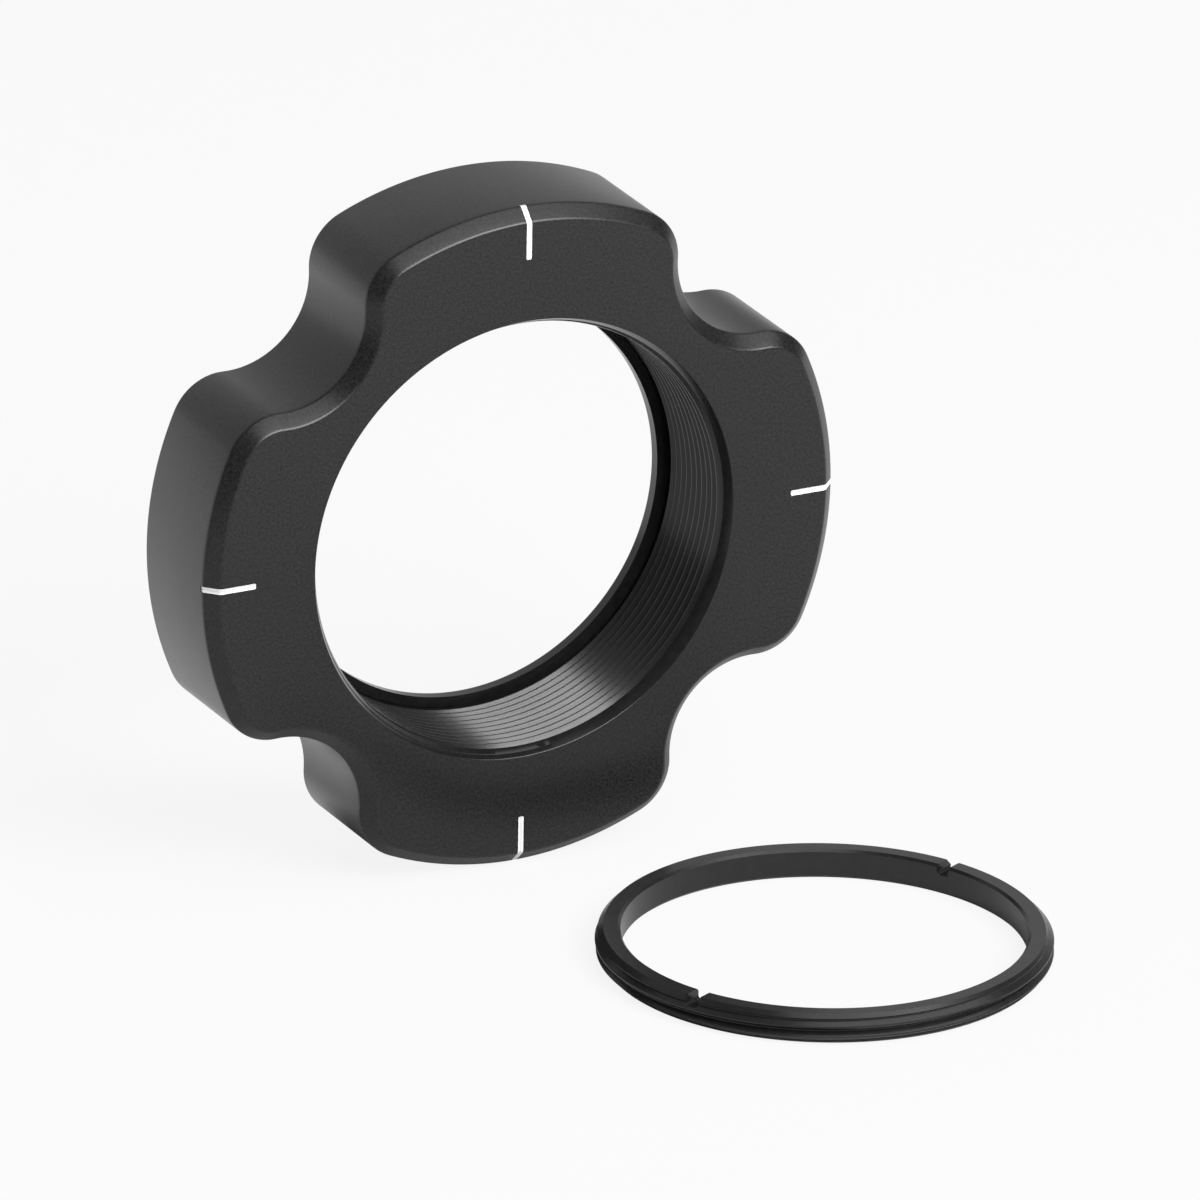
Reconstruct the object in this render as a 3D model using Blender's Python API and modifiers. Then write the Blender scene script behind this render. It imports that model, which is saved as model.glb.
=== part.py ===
# Lens cell of an XY translation cage mount, with its retaining ring.
#
# The cell stands on its bottom lobe. Its bore runs along Y and its front face looks
# to -Y. The ring lies on the table in front of it, top face up. Units are metres, +Z
# is up, and the origin is the point of the table in the middle under the cell.

import math

import bmesh
import bpy
from mathutils import Matrix

# Thread that the cell and the ring share; it is right-handed
THREAD_DIAMETER = 0.02629
THREAD_HEIGHT = 0.00034
THREAD_PITCH = 0.000635

# Bore of the cell, from the countersink at the front to the lip at the back
COUNTERSINK = 0.0005
DRILL_ALLOWANCE = 0.0003
UNDERCUT_STEP = 0.00005
UNDERCUT_WIDTH = 0.00045
UNDERCUT_DROP = 0.00006
LIP_WIDTH = 0.000605
LIP_THICKNESS = 0.0007
LIP_EDGE_BREAK = 0.0001

# Outline of the cell: four lobes with a scallop between each two
CELL_THICKNESS = 0.0081
FACE_WIDTH = 0.006695
SCALLOP_WEB = 0.00281
SCALLOP_RADIUS = 0.0051
LOBE_FILLET = 0.00315
FRONT_CHAMFER = 0.0007

# Engraved index lines and the paint in them
LINE_LENGTH = 0.003
LINE_WIDTH = 0.00037
LINE_DEPTH = 0.0002
PAINT_GAP = 0.00004
PAINT_RECESS = 0.00002

# Retaining ring
RING_CLEARANCE = 0.000145
RING_HEIGHT = 0.00175
RING_WALL = 0.00145
RING_CHAMFER = 0.00047
RING_FOOT_CHAMFER = 0.00047
RING_EDGE_BREAK = 0.00015
SLOT_WIDTH = 0.00085
SLOT_DEPTH = 0.0006
SLOT_CORNER = 0.0002

# Where the ring lies
RING_TO_FACE = 0.00628
RING_SIDEWAYS = 0.0095
RING_TURN = math.radians(26.8)

# Facets of round forms; an odd count leaves one facet in the middle of a lobe
LOBE_FACETS = 15
FILLET_FACETS = 7
SCALLOP_FACETS = 16
ROUND_FACETS = 96
CORNER_FACETS = 3
SHARP_ANGLE = math.radians(25)
FLAT_ANGLE = math.radians(0.1)

# Reach of a cutter past the surface that it opens, and the weld of doubled points
CUT_PAST = 0.001
WELD = 0.000001

# Colours of the two anodised pieces and of the paint
CELL_BLACK = (0.035, 0.035, 0.036)
RING_BLACK = (0.03, 0.03, 0.03)
LINE_WHITE = (0.9, 0.9, 0.9)

# Radii that follow from the sizes above
thread_radius = THREAD_DIAMETER / 2
minor_radius = thread_radius - THREAD_HEIGHT
lip_radius = minor_radius - LIP_WIDTH
drill_radius = minor_radius - DRILL_ALLOWANCE
undercut_radius = thread_radius + UNDERCUT_STEP
rim_radius = minor_radius + COUNTERSINK
cell_radius = rim_radius + FACE_WIDTH
scallop_centre = rim_radius + SCALLOP_WEB + SCALLOP_RADIUS
ring_radius = thread_radius - RING_CLEARANCE
ring_bore = ring_radius - RING_WALL

QUARTER = math.pi / 2
INDEX_LINES = ("right", "top", "left", "bottom")


def fillet_angle():
    """Angle at the cell's axis between a scallop's centre and its fillet's centre."""
    reach = cell_radius - LOBE_FILLET
    span = SCALLOP_RADIUS + LOBE_FILLET
    cosine = (reach ** 2 + scallop_centre ** 2 - span ** 2) / (2 * reach * scallop_centre)
    return math.acos(cosine)


lobe_half_angle = QUARTER / 2 - fillet_angle()
# The middle facet of the bottom lobe lies flat on the table
axis_height = cell_radius * math.cos(lobe_half_angle / LOBE_FACETS)


def new_collection(name):
    collection = bpy.data.collections.new(name)
    bpy.context.scene.collection.children.link(collection)
    return collection


def new_material(name, colour, metallic, roughness):
    material = bpy.data.materials.new(name)
    material.use_nodes = True
    shader = material.node_tree.nodes["Principled BSDF"]
    shader.inputs["Base Color"].default_value = (*colour, 1)
    shader.inputs["Metallic"].default_value = metallic
    shader.inputs["Roughness"].default_value = roughness
    return material


def add_object(name, data, collection, parent):
    thing = bpy.data.objects.new(name, data)
    collection.objects.link(thing)
    thing.parent = parent
    return thing


def add_empty(name, collection):
    return add_object(name, None, collection, None)


def arc(centre, radius, start, end, facets):
    """Points along an arc, both ends included."""
    turn = (end - start) / facets
    angles = [start + turn * step for step in range(facets + 1)]
    return [(centre[0] + radius * math.cos(a), centre[1] + radius * math.sin(a)) for a in angles]


def direction(start, end, reference):
    """Direction from start to end, as the angle nearest to the reference angle."""
    angle = math.atan2(end[1] - start[1], end[0] - start[0])
    return angle + round((reference - angle) / (2 * math.pi)) * 2 * math.pi


def polar(radius, angle):
    return radius * math.cos(angle), radius * math.sin(angle)


def cell_outline():
    """Lobes, fillets and scallops as one closed outline, anticlockwise."""
    points = []
    for index in range(4):
        lobe = index * QUARTER
        leave = lobe + lobe_half_angle
        arrive = lobe + QUARTER - lobe_half_angle
        first = polar(cell_radius - LOBE_FILLET, leave)
        second = polar(cell_radius - LOBE_FILLET, arrive)
        scallop = polar(scallop_centre, lobe + QUARTER / 2)
        out = direction(first, scallop, leave)
        back = direction(second, scallop, arrive)
        lobe_arc = arc((0, 0), cell_radius, lobe - lobe_half_angle, leave, LOBE_FACETS)
        first_fillet = arc(first, LOBE_FILLET, leave, out, FILLET_FACETS)
        hollow = arc(scallop, SCALLOP_RADIUS, out + math.pi, back + math.pi, SCALLOP_FACETS)
        second_fillet = arc(second, LOBE_FILLET, back, arrive, FILLET_FACETS)
        # Neighbouring arcs share their end points, so each gives up its last one
        for piece in (lobe_arc, first_fillet, hollow, second_fillet):
            points += piece[:-1]
    return points


def extruded_outline(name, points, thickness, collection, parent):
    """A flat outline in X and Y, extruded to both sides of Z and made a mesh."""
    curve = bpy.data.curves.new(name + "_outline", "CURVE")
    curve.dimensions = "2D"
    curve.fill_mode = "BOTH"
    curve.extrude = thickness / 2
    spline = curve.splines.new("POLY")
    spline.points.add(len(points) - 1)
    for point, (x, y) in zip(spline.points, points):
        point.co = (x, y, 0, 1)
    spline.use_cyclic_u = True
    drawn = add_object(name + "_outline", curve, collection, None)
    evaluated = drawn.evaluated_get(bpy.context.evaluated_depsgraph_get())
    mesh = bpy.data.meshes.new_from_object(evaluated)
    bpy.data.objects.remove(drawn)
    form = bmesh.new()
    form.from_mesh(mesh)
    bmesh.ops.remove_doubles(form, verts=form.verts, dist=WELD)
    bmesh.ops.dissolve_limit(form, angle_limit=FLAT_ANGLE, verts=form.verts, edges=form.edges)
    bmesh.ops.recalc_face_normals(form, faces=form.faces)
    form.to_mesh(mesh)
    form.free()
    mesh.name = name
    return add_object(name, mesh, collection, parent)


def turned(name, profile, closed, collection, parent):
    """A profile of (radius, height) points turned about Z, joined end to end if it is closed."""
    mesh = bpy.data.meshes.new(name)
    count = len(profile)
    edges = [(step, step + 1) for step in range(count - 1)]
    if closed:
        edges.append((count - 1, 0))
    mesh.from_pydata([(radius, 0, height) for radius, height in profile], edges, [])
    thing = add_object(name, mesh, collection, parent)
    screw = thing.modifiers.new("Turn", "SCREW")
    screw.axis = "Z"
    screw.angle = 2 * math.pi
    screw.steps = ROUND_FACETS
    screw.render_steps = ROUND_FACETS
    screw.use_merge_vertices = True
    screw.merge_threshold = WELD
    screw.use_normal_calculate = False
    return thing


def as_cutter(thing):
    thing.hide_render = True
    thing.display_type = "WIRE"
    return thing


def cut(thing, cutter, label):
    boolean = thing.modifiers.new(label, "BOOLEAN")
    boolean.operation = "DIFFERENCE"
    boolean.solver = "EXACT"
    boolean.object = cutter


def weight_front_edges(mesh, height):
    """Mark the edges that bound the face at the given height for the bevel."""
    weights = mesh.attributes.new("bevel_weight_edge", "FLOAT", "EDGE")
    for edge in mesh.edges:
        ends = [mesh.vertices[index].co.z for index in edge.vertices]
        if min(ends) > height - WELD:
            weights.data[edge.index].value = 1


def bore_profile(half):
    """The bore as a solid, without its thread: countersink, drill, undercut and lip.

    The undercut goes a little deeper than the seat, so the seat stands up as a ring that
    the lens reaches through the thread.
    """
    seat = LIP_THICKNESS - half
    undercut_top = seat + UNDERCUT_WIDTH
    undercut_floor = seat - UNDERCUT_DROP
    return [
        (0, half + CUT_PAST),
        (rim_radius + CUT_PAST, half + CUT_PAST),
        (drill_radius, half - (rim_radius - drill_radius)),
        (drill_radius, undercut_top),
        (undercut_radius, undercut_top),
        (undercut_radius, undercut_floor),
        (minor_radius, undercut_floor),
        (minor_radius, seat),
        (lip_radius, seat),
        (lip_radius, LIP_EDGE_BREAK - half),
        (lip_radius + LIP_EDGE_BREAK + CUT_PAST, -half - CUT_PAST),
        (0, -half - CUT_PAST),
    ]


def thread_tap(name, start, low, high, collection, parent):
    """The thread as a solid: one V turned up a helix from the start, cut level at low and high."""
    section = [
        (minor_radius, start + THREAD_PITCH),
        (thread_radius, start + THREAD_PITCH / 2),
        (minor_radius, start),
    ]
    tap = turned(name, section, False, collection, parent)
    helix = tap.modifiers["Turn"]
    helix.screw_offset = THREAD_PITCH
    helix.iterations = math.ceil((high - start) / THREAD_PITCH)
    evaluated = tap.evaluated_get(bpy.context.evaluated_depsgraph_get())
    form = bmesh.new()
    form.from_mesh(evaluated.to_mesh())
    tap.modifiers.clear()
    bmesh.ops.remove_doubles(form, verts=form.verts, dist=WELD)
    for level, outward in ((low, -1), (high, 1)):
        everything = form.verts[:] + form.edges[:] + form.faces[:]
        bmesh.ops.bisect_plane(form, geom=everything, plane_co=(0, 0, level),
                               plane_no=(0, 0, outward), clear_outer=True)
    bmesh.ops.holes_fill(form, edges=[edge for edge in form.edges if edge.is_boundary])
    bmesh.ops.recalc_face_normals(form, faces=form.faces)
    form.to_mesh(tap.data)
    form.free()
    return tap


def line_path(half, depth, start, end):
    """Side view of an index line: points below the face, then below the 45 degree chamfer."""
    kink = cell_radius - FRONT_CHAMFER
    bend = kink - depth * math.tan(QUARTER / 4)
    drop = end - kink + depth * math.sqrt(2)
    return [(start, half - depth), (bend, half - depth), (end, half - drop)]


def line_section(half, floor_depth, top_depth, inner_gap, past_edge):
    """Closed side view between two depths, from the line's inner end to past the lobe."""
    start = cell_radius - LINE_LENGTH + inner_gap
    end = cell_radius + past_edge
    floor = line_path(half, floor_depth, start, end)
    top = line_path(half, top_depth, start, end)
    return floor + top[::-1]


def radial_strip(name, section, width, angle, collection, parent):
    """A side view in (radius, height), given a width and turned to its place."""
    strip = extruded_outline(name, section, width, collection, parent)
    strip.data.transform(Matrix.Rotation(QUARTER, 4, "X"))
    strip.rotation_euler = (0, 0, angle)
    return strip


def apply_modifiers(thing):
    """Keep what the modifiers make as the object's mesh, smooth between sharp edges."""
    evaluated = thing.evaluated_get(bpy.context.evaluated_depsgraph_get())
    mesh = bpy.data.meshes.new_from_object(evaluated)
    thing.modifiers.clear()
    thing.data = mesh
    mesh.name = thing.name
    mesh.shade_smooth()
    mesh.set_sharp_from_angle(angle=SHARP_ANGLE)


def build_cell(parts, cutters, axis, metal, paint):
    half = CELL_THICKNESS / 2
    cell = extruded_outline("lens_cell", cell_outline(), CELL_THICKNESS, parts, axis)
    cell.data.materials.append(metal)
    weight_front_edges(cell.data, half)
    bevel = cell.modifiers.new("Front chamfer", "BEVEL")
    bevel.limit_method = "WEIGHT"
    bevel.offset_type = "OFFSET"
    bevel.width = FRONT_CHAMFER
    bevel.segments = 1
    bevel.use_clamp_overlap = False
    # The thread runs out into the undercut, and its crest meets the seat's level at +X
    seat = LIP_THICKNESS - half
    tap_end = seat + UNDERCUT_WIDTH / 2
    tap = thread_tap("thread_cutter", seat - THREAD_PITCH, tap_end, half + CUT_PAST, cutters, axis)
    cut(cell, as_cutter(tap), "Thread")
    bore = turned("bore_cutter", bore_profile(half), False, cutters, axis)
    cut(cell, as_cutter(bore), "Bore")
    groove_side = line_section(half, LINE_DEPTH, -CUT_PAST, 0, CUT_PAST)
    paint_side = line_section(half, LINE_DEPTH - PAINT_GAP, PAINT_RECESS, PAINT_GAP, -PAINT_GAP)
    paint_width = LINE_WIDTH - 2 * PAINT_GAP
    for index, side in enumerate(INDEX_LINES):
        angle = index * QUARTER
        cutter_name = "groove_cutter_" + side
        groove = radial_strip(cutter_name, groove_side, LINE_WIDTH, angle, cutters, axis)
        cut(cell, as_cutter(groove), "Groove " + side)
        fill = radial_strip("index_line_" + side, paint_side, paint_width, angle, parts, axis)
        fill.data.materials.append(paint)
    apply_modifiers(cell)


def ring_profile():
    """Section of the ring: down the outside, back up the bore."""
    return [
        (ring_bore + RING_EDGE_BREAK, RING_HEIGHT),
        (ring_radius - RING_CHAMFER, RING_HEIGHT),
        (ring_radius, RING_HEIGHT - RING_CHAMFER),
        (ring_radius, RING_FOOT_CHAMFER),
        (ring_radius - RING_FOOT_CHAMFER, 0),
        (ring_bore + RING_EDGE_BREAK, 0),
        (ring_bore, RING_EDGE_BREAK),
        (ring_bore, RING_HEIGHT - RING_EDGE_BREAK),
    ]


def slot_section():
    """Square slot with rounded bottom corners, open at the top."""
    half = SLOT_WIDTH / 2
    floor = RING_HEIGHT - SLOT_DEPTH
    top = RING_HEIGHT + CUT_PAST
    corner = floor + SLOT_CORNER
    inner = half - SLOT_CORNER
    left = arc((-inner, corner), SLOT_CORNER, 2 * QUARTER, 3 * QUARTER, CORNER_FACETS)
    right = arc((inner, corner), SLOT_CORNER, -QUARTER, 0, CORNER_FACETS)
    return [(half, top), (-half, top)] + left + right


def build_ring(parts, cutters, seat, metal):
    ring = turned("retaining_ring", ring_profile(), True, parts, seat)
    ring.data.materials.append(metal)
    # One cutter right across the ring makes both slots
    length = 2 * (ring_radius + CUT_PAST)
    slot = extruded_outline("slot_cutter", slot_section(), length, cutters, seat)
    upright = Matrix.Rotation(QUARTER, 4, "Z") @ Matrix.Rotation(QUARTER, 4, "X")
    slot.data.transform(upright)
    cut(ring, as_cutter(slot), "Slots")
    apply_modifiers(ring)


def main():
    for thing in list(bpy.data.objects):
        bpy.data.objects.remove(thing)
    parts = new_collection("xy_mount_lens_cell")
    cutters = new_collection("cutters")
    metal = new_material("bead_blasted_black_anodise", CELL_BLACK, 0.6, 0.5)
    ring_metal = new_material("turned_black_anodise", RING_BLACK, 0.7, 0.4)
    paint = new_material("white_line_paint", LINE_WHITE, 0, 0.5)

    # The cell is drawn face up about its axis, then the axis is laid along Y
    axis = add_empty("bore_axis", parts)
    axis.location = (0, 0, axis_height)
    axis.rotation_euler = (QUARTER, 0, 0)
    build_cell(parts, cutters, axis, metal, paint)

    seat = add_empty("ring_axis", parts)
    seat.location = (RING_SIDEWAYS, -CELL_THICKNESS / 2 - RING_TO_FACE - ring_radius, 0)
    seat.rotation_euler = (0, 0, RING_TURN)
    build_ring(parts, cutters, seat, ring_metal)


main()
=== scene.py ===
import math

import bmesh
import bpy
from mathutils import Matrix, Vector


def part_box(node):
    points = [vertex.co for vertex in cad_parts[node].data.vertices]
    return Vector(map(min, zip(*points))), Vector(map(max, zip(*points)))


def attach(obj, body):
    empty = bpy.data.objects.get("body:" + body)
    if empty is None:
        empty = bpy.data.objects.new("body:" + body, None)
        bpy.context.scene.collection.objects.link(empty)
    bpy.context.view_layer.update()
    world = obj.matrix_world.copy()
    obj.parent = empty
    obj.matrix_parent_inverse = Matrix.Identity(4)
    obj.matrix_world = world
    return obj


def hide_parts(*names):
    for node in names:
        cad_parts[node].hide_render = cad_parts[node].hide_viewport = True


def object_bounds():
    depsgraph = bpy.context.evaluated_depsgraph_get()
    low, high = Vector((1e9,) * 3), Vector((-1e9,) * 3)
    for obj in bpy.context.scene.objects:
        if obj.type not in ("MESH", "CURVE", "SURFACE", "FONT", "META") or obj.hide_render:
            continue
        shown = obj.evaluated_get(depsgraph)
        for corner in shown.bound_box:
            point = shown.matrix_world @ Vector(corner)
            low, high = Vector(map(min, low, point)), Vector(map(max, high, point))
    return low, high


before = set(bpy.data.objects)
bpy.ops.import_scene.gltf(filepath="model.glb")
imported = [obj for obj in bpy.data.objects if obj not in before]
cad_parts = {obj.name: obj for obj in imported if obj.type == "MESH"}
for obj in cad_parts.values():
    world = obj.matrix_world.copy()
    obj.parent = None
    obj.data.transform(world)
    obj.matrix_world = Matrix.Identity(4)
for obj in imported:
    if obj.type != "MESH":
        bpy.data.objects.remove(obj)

cad_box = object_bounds()

# One millimetre, in the scene's metres
MM = 0.001

# Sizes of the threaded bore that the frame's boxes don't give
THREAD_PITCH = 0.635 * MM
THREAD_RADIUS = 13.145 * MM
THREAD_HEIGHT = 0.34 * MM
THREAD_LAG = 0.06 * MM
# Shares of the pitch that a crest and a root take, and of the flank that is worn at each end
THREAD_CREST = 0.14
THREAD_ROOT = 0.12
THREAD_WEAR = 0.1
# The stepped bore round the thread, from its rim to the lip at the back
COUNTERSINK = 0.5 * MM
COUNTERSINK_DEPTH = 1.0 * MM
RIM_SOFTENING = 0.07 * MM
DRILL_ALLOWANCE = 0.3 * MM
UNDERCUT_STEP = 0.05 * MM
UNDERCUT_WIDTH = 0.45 * MM
UNDERCUT_DROP = 0.06 * MM
LIP_RADIUS = 12.2 * MM
LIP_THICKNESS = 0.7 * MM
LIP_BREAK = 0.03 * MM

# Outline of the cell and the edges that blasting has softened
SCALLOP_CENTRE = 21.215 * MM
SCALLOP_RADIUS = 5.1 * MM
LOBE_FILLET = 3.15 * MM
CHAMFER = 0.75 * MM
CHAMFER_DEPTH = 0.8 * MM
FACE_SOFTENING = 0.33 * MM
WALL_SOFTENING = 0.3 * MM
BACK_SOFTENING = 0.08 * MM

# Engraved index lines
LINE_LENGTH = 3.0 * MM
LINE_WIDTH = 0.37 * MM
LINE_DEPTH = 0.2 * MM
LINE_CORNER = 0.09 * MM
LINE_BEND = 0.35 * MM
PAINT_MARGIN = 0.02 * MM
PAINT_SAG = 0.03 * MM
PAINT_DEPTH = 0.14 * MM

# Retaining ring
RING_BORE = 11.55 * MM
RING_CHAMFER = 0.47 * MM
RING_BREAK = 0.15 * MM
RING_CREST_HEIGHT = 0.04 * MM
SLOT_WIDTH = 0.85 * MM
SLOT_DEPTH = 0.6 * MM
SLOT_CORNER = 0.2 * MM
RING_TURN = math.radians(26.8)

# How finely curves are drawn
STATIONS = 360
LOBE_POINTS = 88
FILLET_POINTS = 14
SCALLOP_POINTS = 30
ROUNDING_STEPS = 4
SLOT_STEPS = 6
SHARP_ANGLE = math.radians(22)
WELD = 0.0002 * MM

# How far a cutter reaches past what it cuts, and by how little the rim's tool clears the face
PAST = 1.0 * MM
HAIR = 0.002 * MM

# The table: half its side, the gap under the object, and how far behind the cell its painted white
# glow in the object's reflections fades in
TABLE_REACH = 1.5
TABLE_GAP = 0.02 * MM
TABLE_FADE = 4 * MM

# The photograph's view: turned to the left of the face, looking down, from far away
CAMERA_AZIMUTH = math.radians(-27.32)
CAMERA_ELEVATION = math.radians(21.8)
CAMERA_ROLL = math.radians(0.91)
CAMERA_DISTANCE = 1.2346
CAMERA_LENS = 652.3
CAMERA_SENSOR = 36.0
AIM_RIGHT = 4.241 * MM
AIM_UP = -3.4255 * MM

QUARTER = math.pi / 2

cell_low, cell_high = (Vector(corner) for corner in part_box("lens_cell"))
ring_low, ring_high = (Vector(corner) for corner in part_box("retaining_ring"))
lobe_radius = (cell_high.x - cell_low.x) / 2
half_thickness = (cell_high.y - cell_low.y) / 2
cell_centre = (cell_low + cell_high) / 2
ring_radius = (ring_high.x - ring_low.x) / 2
ring_height = ring_high.z - ring_low.z
ring_foot = Vector(((ring_low.x + ring_high.x) / 2, (ring_low.y + ring_high.y) / 2, ring_low.z))
minor_radius = THREAD_RADIUS - THREAD_HEIGHT
rim_radius = minor_radius + COUNTERSINK
drill_radius = minor_radius - DRILL_ALLOWANCE
seat = LIP_THICKNESS - half_thickness

# The cell is drawn face up about its bore; this lays the bore along Y
cell_place = Matrix.Translation(cell_centre) @ Matrix.Rotation(QUARTER, 4, "X")
ring_place = Matrix.Translation(ring_foot)


def arc(centre, radius, start, end, steps):
    """Points along an arc, both ends included."""
    turn = (end - start) / steps
    angles = [start + turn * step for step in range(steps + 1)]
    return [(centre[0] + radius * math.cos(a), centre[1] + radius * math.sin(a)) for a in angles]


def direction(start, end, near):
    """Direction from start to end, as the angle nearest to the given one."""
    angle = math.atan2(end[1] - start[1], end[0] - start[0])
    return angle + round((near - angle) / (2 * math.pi)) * 2 * math.pi


def polar(radius, angle):
    return radius * math.cos(angle), radius * math.sin(angle)


def outward(turn, lift):
    """Direction from the cell at a turn from its face and a lift above the table."""
    return Vector((math.sin(turn) * math.cos(lift), -math.cos(turn) * math.cos(lift), math.sin(lift)))


def cell_outline(inset):
    """The four-lobed outline, drawn in by an inset, anticlockwise."""
    reach = lobe_radius - LOBE_FILLET
    span = SCALLOP_RADIUS + LOBE_FILLET
    cosine = (reach ** 2 + SCALLOP_CENTRE ** 2 - span ** 2) / (2 * reach * SCALLOP_CENTRE)
    half_angle = QUARTER / 2 - math.acos(cosine)
    points = []
    for index in range(4):
        lobe = index * QUARTER
        leave = lobe + half_angle
        arrive = lobe + QUARTER - half_angle
        first = polar(reach, leave)
        second = polar(reach, arrive)
        scallop = polar(SCALLOP_CENTRE, lobe + QUARTER / 2)
        out = direction(first, scallop, leave)
        back = direction(second, scallop, arrive)
        pieces = (
            arc((0, 0), lobe_radius - inset, lobe - half_angle, leave, LOBE_POINTS),
            arc(first, LOBE_FILLET - inset, leave, out, FILLET_POINTS),
            arc(scallop, SCALLOP_RADIUS + inset, out + math.pi, back + math.pi, SCALLOP_POINTS),
            arc(second, LOBE_FILLET - inset, back, arrive, FILLET_POINTS),
        )
        for piece in pieces:
            points += piece[:-1]
    return points


def softened(before, corner, after, radius):
    """The points that round off a corner of a profile."""
    before, corner, after = Vector(before), Vector(corner), Vector(after)
    inward = (before - corner).normalized()
    onward = (after - corner).normalized()
    half = inward.angle(onward) / 2
    middle = corner + (inward + onward).normalized() * radius / math.sin(half)
    start = corner + inward * radius / math.tan(half) - middle
    end = corner + onward * radius / math.tan(half) - middle
    turn = start.angle_signed(end)
    points = []
    for step in range(ROUNDING_STEPS + 1):
        spin = Matrix.Rotation(-turn * step / ROUNDING_STEPS, 2)
        points.append(tuple(middle + spin @ start))
    return points


def new_piece(name, form, place, materials):
    """Makes the bmesh an object of the given materials, at its place."""
    mesh = bpy.data.meshes.new(name)
    form.to_mesh(mesh)
    form.free()
    for material in materials:
        mesh.materials.append(material)
    piece = bpy.data.objects.new(name, mesh)
    bpy.context.scene.collection.objects.link(piece)
    piece.matrix_world = place
    return piece


def smooth(piece):
    piece.data.shade_smooth()
    piece.data.set_sharp_from_angle(angle=SHARP_ANGLE)


def skin(form, loops):
    """Joins closed loops of points one after the other, and caps the first and last."""
    rows = [[form.verts.new(point) for point in loop] for loop in loops]
    for lower, upper in zip(rows, rows[1:]):
        for index in range(len(lower)):
            after = (index + 1) % len(lower)
            form.faces.new((lower[index], lower[after], upper[after], upper[index]))
    form.faces.new(list(reversed(rows[0])))
    form.faces.new(rows[-1])
    bmesh.ops.recalc_face_normals(form, faces=form.faces)


def lathed(columns, closed):
    """Turns columns of (radius, height) about Z: one for each station, or one for them all."""
    form = bmesh.new()
    rows = []
    for station in range(STATIONS + 1):
        angle = 2 * math.pi * station / STATIONS
        column = columns[station % len(columns)]
        rows.append([form.verts.new((*polar(radius, angle), height)) for radius, height in column])
    count = len(rows[0])
    spans = count if closed else count - 1
    for first, second in zip(rows, rows[1:]):
        for index in range(spans):
            after = (index + 1) % count
            form.faces.new((first[index], second[index], second[after], first[after]))
    bmesh.ops.remove_doubles(form, verts=form.verts, dist=WELD)
    bmesh.ops.recalc_face_normals(form, faces=form.faces)
    return form


def worn(share):
    """A thread's depth up its flank, 0 at the crest and 1 at the root, with worn corners."""
    if share > 0.5:
        return 1 - worn(1 - share)
    if share <= -THREAD_WEAR:
        return 0.0
    if share >= THREAD_WEAR:
        return share
    return (share + THREAD_WEAR) ** 2 / (4 * THREAD_WEAR)


def thread_section():
    """One pitch of thread from crest to crest, as (share of the pitch, share of the depth)."""
    crest = THREAD_CREST / 2
    flank = 0.5 - crest - THREAD_ROOT / 2
    shares = [-THREAD_WEAR, 0, THREAD_WEAR, 1 - THREAD_WEAR, 1, 1 + THREAD_WEAR]
    rise = [(crest + share * flank, worn(share)) for share in shares]
    fall = [(1 - place, depth) for place, depth in reversed(rise)]
    return rise + fall


def threaded_rod(low, high, crest_at, inner, outer):
    """A capped rod whose thread has the inner radius at its crests and the outer at its roots.

    The crest passes through the height crest_at where the rod meets +X.
    """
    section = thread_section()
    first = math.floor((low - crest_at) / THREAD_PITCH) - 1
    last = math.ceil((high - crest_at) / THREAD_PITCH)
    columns = []
    for station in range(STATIONS + 1):
        share = station / STATIONS
        column = [(0, low)]
        for turn in range(first, last + 1):
            for place, depth in section:
                height = crest_at + (turn + place + share) * THREAD_PITCH
                level = min(max(height, low), high)
                radius = inner + (outer - inner) * depth
                column.append((radius if level == height else inner, level))
        columns.append(column + [(0, high)])
    return lathed(columns, False)


def cell_blank():
    """The lobed body before it is bored: back face, wall, chamfer and front face."""
    back, front = -half_thickness, half_thickness
    wall = front - CHAMFER_DEPTH
    corners = [(PAST, back), (0, back), (0, wall), (CHAMFER, front), (2 * PAST, front)]
    profile = softened(corners[0], corners[1], corners[2], BACK_SOFTENING)
    # A loop just behind the grooves' ends keeps their notches out of the long wall faces
    profile.append((0, wall - 2 * LINE_DEPTH))
    profile += softened(corners[1], corners[2], corners[3], WALL_SOFTENING)
    profile += softened(corners[2], corners[3], corners[4], FACE_SOFTENING)
    form = bmesh.new()
    skin(form, [[(x, y, height) for x, y in cell_outline(inset)] for inset, height in profile])
    return form


def thread_tap():
    """The thread of the bore, from the undercut to past the face."""
    low = seat + UNDERCUT_WIDTH / 2
    return threaded_rod(low, half_thickness + PAST, seat - THREAD_LAG, minor_radius, THREAD_RADIUS)


def bore_plug():
    """The rest of the bore: rounded rim, steep countersink, undercut, raised seat and lip."""
    front = half_thickness
    level = front + HAIR
    corner = (rim_radius + HAIR, level)
    undercut_radius = THREAD_RADIUS + UNDERCUT_STEP
    outside = (rim_radius + PAST, level)
    foot = (drill_radius, front - (rim_radius - drill_radius) * COUNTERSINK_DEPTH / COUNTERSINK)
    profile = [(0, front + PAST), (rim_radius + PAST, front + PAST), outside]
    profile += reversed(softened(foot, corner, outside, RIM_SOFTENING))
    profile += [
        foot,
        (drill_radius, seat + UNDERCUT_WIDTH),
        (undercut_radius, seat + UNDERCUT_WIDTH),
        (undercut_radius, seat - UNDERCUT_DROP),
        (minor_radius, seat - UNDERCUT_DROP),
        (minor_radius, seat),
        (LIP_RADIUS, seat),
        (LIP_RADIUS, LIP_BREAK - front),
        (LIP_RADIUS + LIP_BREAK + PAST, -front - PAST),
        (0, -front - PAST),
    ]
    return lathed([profile], False)


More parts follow.
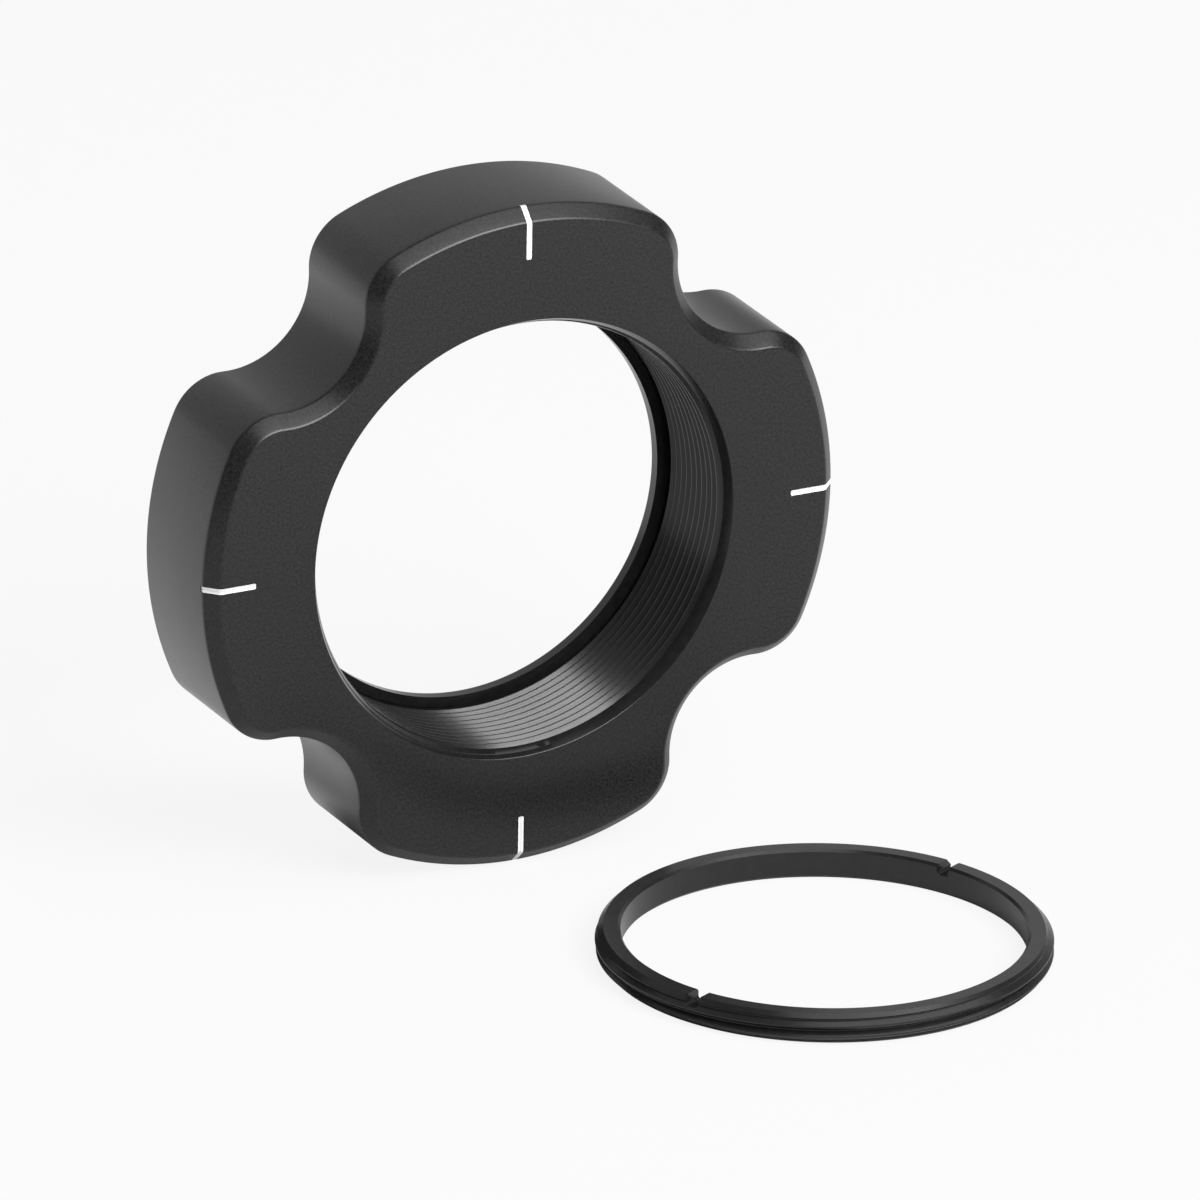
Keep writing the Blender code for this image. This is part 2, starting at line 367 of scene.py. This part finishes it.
def line_path(depth, start, end, half_width):
    """Side view of an index line as (radius, height, share of the width).

    The corners of its inner end are round, and so is its bend over the edge of the face.
    """
    kink = lobe_radius - CHAMFER
    fall = math.atan2(CHAMFER_DEPTH, CHAMFER)
    level = half_thickness - depth
    bend = (kink - depth * math.tan(fall / 2), level)
    last = (end, half_thickness - (end - kink) * math.tan(fall) - depth / math.cos(fall))
    path = []
    for degrees in (0, 30, 60, 90):
        angle = math.radians(degrees)
        share = 1 - LINE_CORNER * (1 - math.sin(angle)) / half_width
        path.append((start + LINE_CORNER * (1 - math.cos(angle)), level, share))
    curve = softened((start, level), bend, last, LINE_BEND - depth)
    return path + [(x, z, 1.0) for x, z in curve + [last]]


def strip(top, floor, across):
    """A strip along +X between two side views; across lists its half's widths and their sag."""
    form = bmesh.new()
    loops = []
    for (top_x, top_z, share), (floor_x, floor_z, _) in zip(top, floor):
        edge = across[-1][0] * share
        loop = [(floor_x, -edge, floor_z), (floor_x, edge, floor_z)]
        loop += [(top_x, width * share, top_z - sag * share) for width, sag in reversed(across)]
        loop += [(top_x, -width * share, top_z - sag * share) for width, sag in across[1:]]
        loops.append(loop)
    skin(form, loops)
    return form


def groove_cutter():
    start = lobe_radius - LINE_LENGTH
    end = lobe_radius + PAST
    half = LINE_WIDTH / 2
    top = line_path(-PAST, start, end, half)
    return strip(top, line_path(LINE_DEPTH, start, end, half), [(0, 0), (half, 0)])


def paint_fill():
    """Paint in the groove: level at its edges, a little sunk along its middle."""
    start = lobe_radius - LINE_LENGTH + PAINT_MARGIN
    end = lobe_radius - PAINT_MARGIN
    half = LINE_WIDTH / 2 - PAINT_MARGIN
    across = [(half * share, PAINT_SAG * (1 - share ** 2)) for share in (0, 0.35, 0.7, 0.9, 1.0)]
    top = line_path(PAINT_MARGIN, start, end, half)
    return strip(top, line_path(PAINT_DEPTH, start, end, half), across)


def shape(piece, cutters, operation):
    """Cuts the cutters out of the piece, or keeps what both fill, and removes the cutters."""
    for cutter in cutters:
        boolean = piece.modifiers.new(cutter.name, "BOOLEAN")
        boolean.operation = operation
        boolean.solver = "EXACT"
        boolean.material_mode = "TRANSFER"
        boolean.object = cutter
    evaluated = piece.evaluated_get(bpy.context.evaluated_depsgraph_get())
    mesh = bpy.data.meshes.new_from_object(evaluated)
    piece.modifiers.clear()
    piece.data = mesh
    for cutter in cutters:
        bpy.data.objects.remove(cutter)


def ring_blank():
    """The ring as it is turned before threading, a little over size: bore, edges, chamfers."""
    spare = THREAD_HEIGHT / 4
    over = ring_radius + spare
    low, high = 0.0, ring_height
    shoulder = RING_CHAMFER + spare
    profile = [
        (RING_BORE + RING_BREAK, high),
        (ring_radius - RING_CHAMFER, high),
        (over, high - shoulder),
        (over, low + shoulder),
        (ring_radius - RING_CHAMFER, low),
        (RING_BORE + RING_BREAK, low),
        (RING_BORE, low + RING_BREAK),
        (RING_BORE, high - RING_BREAK),
    ]
    return lathed([profile], True)


def ring_thread():
    """Everything inside the ring's outer thread."""
    return threaded_rod(-PAST, ring_height + PAST, RING_CREST_HEIGHT, ring_radius,
                        ring_radius - THREAD_HEIGHT)


def slot_cutter():
    """A square slot with rounded bottom corners, right across the ring."""
    half = SLOT_WIDTH / 2
    floor = ring_height - SLOT_DEPTH
    corner = floor + SLOT_CORNER
    inner = half - SLOT_CORNER
    section = [(half, ring_height + PAST), (-half, ring_height + PAST)]
    section += arc((-inner, corner), SLOT_CORNER, 2 * QUARTER, 3 * QUARTER, SLOT_STEPS)
    section += arc((inner, corner), SLOT_CORNER, -QUARTER, 0, SLOT_STEPS)
    reach = ring_radius + PAST
    form = bmesh.new()
    skin(form, [[(x, y, z) for y, z in section] for x in (-reach, reach)])
    return form


def linear(hex_colour):
    """An sRGB hex colour as linear red, green, blue and alpha."""
    channels = [int(hex_colour[start:start + 2], 16) / 255 for start in (1, 3, 5)]
    return [c / 12.92 if c <= 0.04045 else ((c + 0.055) / 1.055) ** 2.4 for c in channels] + [1.0]


def add(tree, kind, links=None, values=None, **settings):
    """Adds a node with its settings, its links and its sockets' own values."""
    made = tree.nodes.new(kind)
    for name, value in settings.items():
        setattr(made, name, value)
    for name, value in (values or {}).items():
        made.inputs[name].default_value = value
    for name, socket in (links or {}).items():
        tree.links.new(socket, made.inputs[name])
    return made


def new_material(name):
    material = bpy.data.materials.new(name)
    material.use_nodes = True
    material.node_tree.nodes.clear()
    return material, material.node_tree


def finish_material(tree, shader):
    add(tree, "ShaderNodeOutputMaterial", {"Surface": shader.outputs[0]})


def bead_blasted_anodise():
    """Aluminium blasted with glass beads and anodised black.

    The dyed oxide hides the metal, so it shades like dark glaze: near black, with a dull
    wide sheen that the bead marks break into a fine even grain. The beads' marks, 0.05 mm
    across, are drawn three times as coarse so that they show.
    """
    grain = 0.15 * MM
    cloud = 6 * MM
    dimple = 0.004 * MM
    material, tree = new_material("bead_blasted_black_anodise")
    place = add(tree, "ShaderNodeTexCoord").outputs["Object"]
    beads = add(tree, "ShaderNodeTexNoise", {"Vector": place},
                {"Scale": 1 / grain, "Detail": 2.0, "Roughness": 0.55})
    clouds = add(tree, "ShaderNodeTexNoise", {"Vector": place},
                 {"Scale": 1 / cloud, "Detail": 2.0})
    speckle = add(tree, "ShaderNodeMapRange", {"Value": beads.outputs["Fac"]},
                  {"From Min": 0.32, "From Max": 0.68})
    tone = add(tree, "ShaderNodeMix", {"Factor": speckle.outputs["Result"]}, data_type="RGBA")
    tone.inputs["A"].default_value = linear("#050505")
    tone.inputs["B"].default_value = linear("#222222")
    bump = add(tree, "ShaderNodeBump", {"Height": beads.outputs["Fac"]}, {"Distance": dimple})
    rough = add(tree, "ShaderNodeMapRange", {"Value": clouds.outputs["Fac"]},
                {"To Min": 0.30, "To Max": 0.36})
    shader = add(tree, "ShaderNodeBsdfPrincipled",
                 {"Base Color": tone.outputs["Result"], "Normal": bump.outputs["Normal"],
                  "Roughness": rough.outputs["Result"]},
                 {"IOR": 1.5})
    finish_material(tree, shader)
    return material


def turned_anodise(name, dark_hex, light_hex, roughness):
    """Aluminium cut on a lathe and anodised black: a clearer sheen, with rings of tool marks.

    The marks, 0.06 mm apart, are drawn twice as coarse so that they show.
    """
    feed = 0.12 * MM
    mark = 0.0009 * MM
    patch = 0.5 * MM
    # On a flat face the marks run along the radius, so that counts too
    radius_share = 0.6
    material, tree = new_material(name)
    place = add(tree, "ShaderNodeTexCoord").outputs["Object"]
    flat = add(tree, "ShaderNodeVectorMath", {0: place}, {1: (1, 1, 0)}, operation="MULTIPLY")
    radius = add(tree, "ShaderNodeVectorMath", {0: flat.outputs["Vector"]}, operation="LENGTH")
    height = add(tree, "ShaderNodeSeparateXYZ", {"Vector": place})
    along = add(tree, "ShaderNodeMath", {0: height.outputs["Z"], 2: radius.outputs["Value"]},
                {1: radius_share}, operation="MULTIPLY_ADD")
    marks = add(tree, "ShaderNodeTexNoise", {"W": along.outputs[0]},
                {"Scale": 1 / feed, "Detail": 1.0}, noise_dimensions="1D")
    patches = add(tree, "ShaderNodeTexNoise", {"Vector": place},
                  {"Scale": 1 / patch, "Detail": 3.0})
    tone = add(tree, "ShaderNodeMix", {"Factor": patches.outputs["Fac"]}, data_type="RGBA")
    tone.inputs["A"].default_value = linear(dark_hex)
    tone.inputs["B"].default_value = linear(light_hex)
    bump = add(tree, "ShaderNodeBump", {"Height": marks.outputs["Fac"]}, {"Distance": mark})
    shader = add(tree, "ShaderNodeBsdfPrincipled",
                 {"Base Color": tone.outputs["Result"], "Normal": bump.outputs["Normal"]},
                 {"IOR": 1.5, "Roughness": roughness})
    finish_material(tree, shader)
    return material


def line_enamel():
    """White enamel wiped into the engraving.

    Opaque, with a low sheen and faint mottling. It sinks as it dries, so it is thinnest along the
    middle of the line, and there its colour is painted a little grey as painted shade of that sunken
    middle.
    """
    fleck = 0.15 * MM
    ripple = 0.003 * MM
    # Painted shade: the line is greyest within the first distance of its middle and full white past
    # the second
    painted_shade_core = 0.02 * MM
    painted_shade_reach = 0.12 * MM
    material, tree = new_material("white_line_enamel")
    place = add(tree, "ShaderNodeTexCoord").outputs["Object"]
    mottle = add(tree, "ShaderNodeTexNoise", {"Vector": place}, {"Scale": 1 / fleck})
    parts = add(tree, "ShaderNodeSeparateXYZ", {"Vector": place})
    aside = add(tree, "ShaderNodeMath", {0: parts.outputs["Y"]}, operation="ABSOLUTE")
    # Painted shade along the line's sunken middle, fading out towards its edges
    painted_shade_across = add(tree, "ShaderNodeMapRange", {"Value": aside.outputs[0]},
               {"From Min": painted_shade_core, "From Max": painted_shade_reach})
    blend = add(tree, "ShaderNodeMath", {0: mottle.outputs["Fac"], 2: painted_shade_across.outputs["Result"]},
                {1: 0.3}, operation="MULTIPLY_ADD", use_clamp=True)
    tone = add(tree, "ShaderNodeMix", {"Factor": blend.outputs[0]}, data_type="RGBA")
    tone.inputs["A"].default_value = linear("#dcdcda")
    tone.inputs["B"].default_value = linear("#f4f4f3")
    bump = add(tree, "ShaderNodeBump", {"Height": mottle.outputs["Fac"]}, {"Distance": ripple})
    shader = add(tree, "ShaderNodeBsdfPrincipled",
                 {"Base Color": tone.outputs["Result"], "Normal": bump.outputs["Normal"]},
                 {"Roughness": 0.45})
    finish_material(tree, shader)
    return material


def build_cell(blasted, turned, enamel):
    cell = new_piece("cell_body", cell_blank(), cell_place, [blasted])
    cutters = [
        new_piece("thread_tap", thread_tap(), cell_place, [turned]),
        new_piece("bore_plug", bore_plug(), cell_place, [turned]),
    ]
    for index, side in enumerate(("right", "top", "left", "bottom")):
        place = cell_place @ Matrix.Rotation(index * QUARTER, 4, "Z")
        cutters.append(new_piece("groove_" + side, groove_cutter(), place, [turned]))
        paint = new_piece("paint_line_" + side, paint_fill(), place, [enamel])
        smooth(paint)
        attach(paint, "cell")
        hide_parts("index_line_" + side)
    shape(cell, cutters, "DIFFERENCE")
    smooth(cell)
    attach(cell, "cell")
    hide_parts("lens_cell")


def build_ring(turned):
    ring = new_piece("threaded_ring", ring_blank(), ring_place, [turned])
    shape(ring, [new_piece("ring_thread", ring_thread(), ring_place, [turned])], "INTERSECT")
    slot_place = ring_place @ Matrix.Rotation(RING_TURN, 4, "Z")
    shape(ring, [new_piece("slot", slot_cutter(), slot_place, [turned])], "DIFFERENCE")
    smooth(ring)
    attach(ring, "ring")
    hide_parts("retaining_ring")


def build_floor():
    """A white table that still takes the object's soft shadow.

    In the object's gloss it glows white behind the cell, a painted reflection of a brightly lit table
    that leaves out the cell's shadow there, and in front it is the lit paper.
    """
    form = bmesh.new()
    bmesh.ops.create_grid(form, x_segments=1, y_segments=1, size=TABLE_REACH)
    material, tree = new_material("white_table")
    paper = add(tree, "ShaderNodeBsdfDiffuse", values={"Color": linear("#cccccc")})
    glow = add(tree, "ShaderNodeEmission", values={"Strength": 1.0})
    place = add(tree, "ShaderNodeTexCoord").outputs["Object"]
    parts = add(tree, "ShaderNodeSeparateXYZ", {"Vector": place})
    behind = add(tree, "ShaderNodeMapRange", {"Value": parts.outputs["Y"]},
                 {"From Min": cell_high.y, "From Max": cell_high.y + TABLE_FADE})
    seen = add(tree, "ShaderNodeLightPath")
    mirrored = add(tree, "ShaderNodeMath", {0: seen.outputs["Is Glossy Ray"],
                                            1: seen.outputs["Is Transmission Ray"]})
    # Painted reflection: rays mirrored off the object see the table glow white behind the cell, in
    # place of its lit and shadowed paper
    painted_reflection_glow = add(tree, "ShaderNodeMath", {0: mirrored.outputs[0], 1: behind.outputs["Result"]},
                 operation="MULTIPLY")
    share = add(tree, "ShaderNodeMath", {0: seen.outputs["Is Camera Ray"], 2: painted_reflection_glow.outputs[0]},
                {1: 0.88}, operation="MULTIPLY_ADD")
    mixed = add(tree, "ShaderNodeMixShader", {0: share.outputs[0], 1: paper.outputs[0],
                                              2: glow.outputs[0]})
    finish_material(tree, mixed)
    under = Matrix.Translation((0, 0, cad_box[0][2] - TABLE_GAP))
    new_piece("table", form, under, [material])


def light_panel(name, power, width, height, azimuth, elevation, distance):
    """A soft rectangular light, aimed at the cell from an azimuth and elevation in degrees."""
    lamp = bpy.data.lights.new(name, "AREA")
    lamp.shape = "RECTANGLE"
    lamp.energy = power
    lamp.size = width
    lamp.size_y = height
    holder = bpy.data.objects.new(name, lamp)
    bpy.context.scene.collection.objects.link(holder)
    away = outward(math.radians(azimuth), math.radians(elevation))
    holder.location = cell_centre + away * distance
    holder.rotation_euler = away.to_track_quat("Z", "Y").to_euler()


def build_world():
    """A white studio behind the object that gets darker towards the room in front of it."""
    world = bpy.data.worlds.new("studio")
    world.use_nodes = True
    bpy.context.scene.world = world
    tree = world.node_tree
    tree.nodes.clear()
    seen = add(tree, "ShaderNodeLightPath")
    toward = add(tree, "ShaderNodeTexCoord").outputs["Generated"]
    parts = add(tree, "ShaderNodeSeparateXYZ", {"Vector": toward})
    side = add(tree, "ShaderNodeMapRange", {"Value": parts.outputs["Y"]},
               {"From Min": 0.1, "From Max": 0.85, "To Min": 0.2, "To Max": 0.7})
    strength = add(tree, "ShaderNodeMix", {"Factor": seen.outputs["Is Camera Ray"],
                                           "A": side.outputs[0]}, {"B": 1.0})
    glow = add(tree, "ShaderNodeBackground", {"Strength": strength.outputs[0]})
    add(tree, "ShaderNodeOutputWorld", {"Surface": glow.outputs[0]})


def build_light():
    light_panel("key_softbox", power=4.2, width=0.45, height=0.25,
                azimuth=16, elevation=37, distance=0.6)
    light_panel("overhead_softbox", power=1.6, width=0.8, height=0.45,
                azimuth=35, elevation=68, distance=0.6)


def build_camera():
    away = outward(CAMERA_AZIMUTH, CAMERA_ELEVATION)
    level = Vector((math.cos(CAMERA_AZIMUTH), math.sin(CAMERA_AZIMUTH), 0))
    up = away.cross(level)
    frame_axes = Matrix((level, up, away)).transposed().to_4x4()
    rolled = frame_axes @ Matrix.Rotation(CAMERA_ROLL, 4, "Z")
    right, above = rolled.col[0].to_3d(), rolled.col[1].to_3d()
    face_centre = cell_centre - Vector((0, half_thickness, 0))
    spot = face_centre + right * AIM_RIGHT + above * AIM_UP + away * CAMERA_DISTANCE
    camera = bpy.data.cameras.new("camera")
    camera.lens = CAMERA_LENS
    camera.sensor_width = CAMERA_SENSOR
    camera.clip_start = 0.01
    camera.clip_end = 10.0
    holder = bpy.data.objects.new("camera", camera)
    bpy.context.scene.collection.objects.link(holder)
    holder.matrix_world = Matrix.Translation(spot) @ rolled
    bpy.context.scene.camera = holder


def main():
    bpy.context.scene.view_settings.view_transform = "Standard"
    blasted = bead_blasted_anodise()
    bored = turned_anodise("turned_black_anodise", "#0e0e0e", "#222222", 0.21)
    ring_finish = turned_anodise("turned_black_anodised_ring", "#0e0e0e", "#222222", 0.24)
    enamel = line_enamel()
    build_cell(blasted, bored, enamel)
    build_ring(ring_finish)
    build_floor()
    build_world()
    build_light()
    build_camera()


main()
